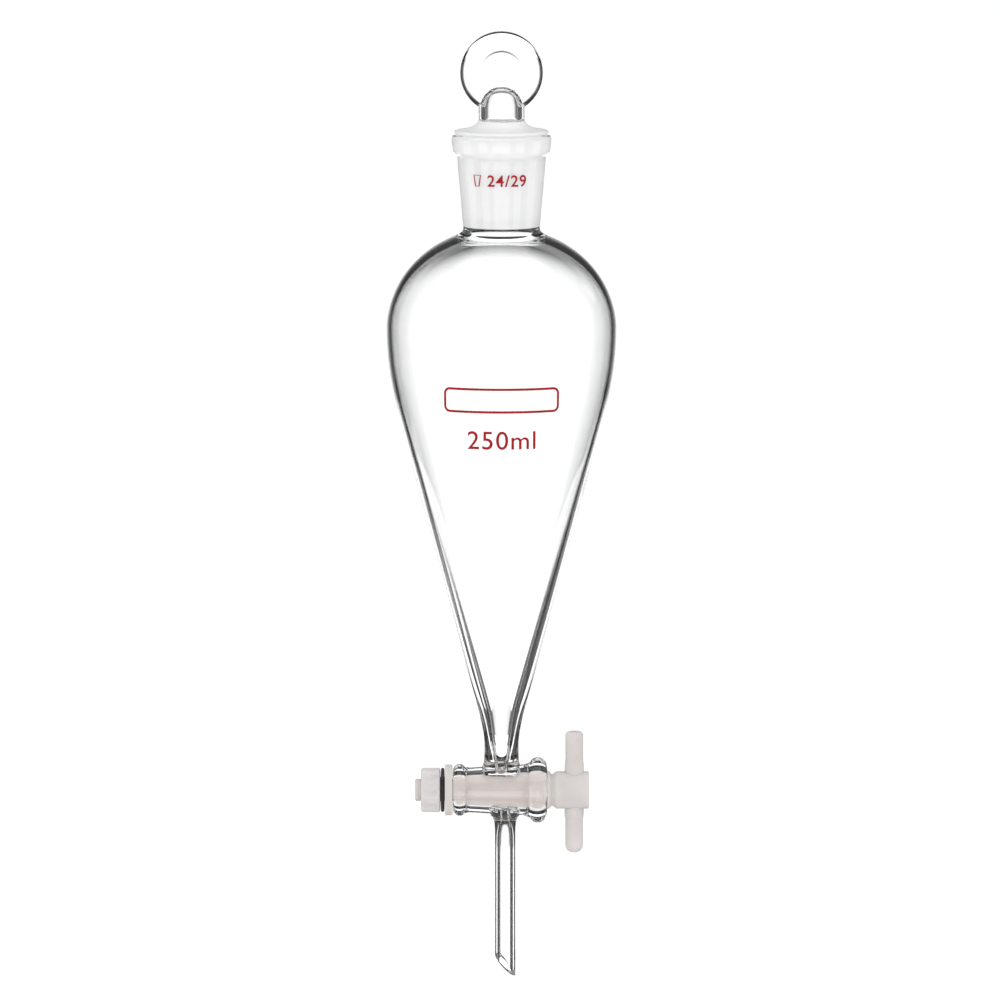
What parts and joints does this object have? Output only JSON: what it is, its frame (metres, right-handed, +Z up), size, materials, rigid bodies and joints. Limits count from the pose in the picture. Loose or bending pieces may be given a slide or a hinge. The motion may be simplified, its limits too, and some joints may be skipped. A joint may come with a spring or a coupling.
{
  "type": "separatory funnel",
  "caption": "Pear-shaped glass separatory funnel with a ground-joint stopper, a PTFE stopcock with a T-shaped handle and a slant-cut drip tube.",
  "frame": {"origin": "on the vessel's axis, at the height where a support ring of 60 mm inner diameter touches the cone", "axes": "+Z up the vessel's axis to the stopper, +X along the stopcock's axis towards its handle, +Y away from the side with the printed capacity"},
  "size_m": [0.0726, 0.0726, 0.3001],
  "materials": {
    "clear_glass": "fire-polished clear borosilicate glass",
    "frosted_glass": "ground, frosted borosilicate glass",
    "stopper_glass": "pressed clear glass with a ground cone",
    "white_ptfe": "waxy off-white PTFE",
    "nut_ptfe": "satin white plastic",
    "black_rubber": "dull black rubber"
  },
  "bodies": {
    "vessel": {"ground_joint_socket": "frosted_glass", "pear_bulb": "clear_glass", "stem_tube": "clear_glass", "stopcock_barrel": "clear_glass", "drip_tube": "clear_glass"},
    "stopper": {"stopper": "stopper_glass"},
    "plug": {"stopcock_plug": "white_ptfe"},
    "seals": {"washer": "white_ptfe", "sealing_ring": "black_rubber"},
    "nut": {"nut": "nut_ptfe"}
  },
  "joints": [
    {"name": "stopper_lift", "type": "slide", "parent": "vessel", "child": "stopper", "axis": [0, 0, 1], "range_m": [0, 0.06]},
    {"name": "stopcock_turn", "type": "hinge", "parent": "vessel", "child": "plug", "pos_m": [0, 0, -0.1117], "axis": [1, 0, 0], "continuous": true},
    {"name": "seal_slide", "type": "slide", "parent": "plug", "child": "seals", "axis": [-1, 0, 0], "range_m": [0, 0.00525]},
    {"name": "nut_turn", "type": "hinge", "parent": "seals", "child": "nut", "pos_m": [0, 0, -0.1117], "axis": [-1, 0, 0], "range_deg": [0, 1260]}
  ],
  "couplings": [
    {"joint": "nut_turn", "follows": "seal_slide", "rad_per_m": 4188.8}
  ]
}
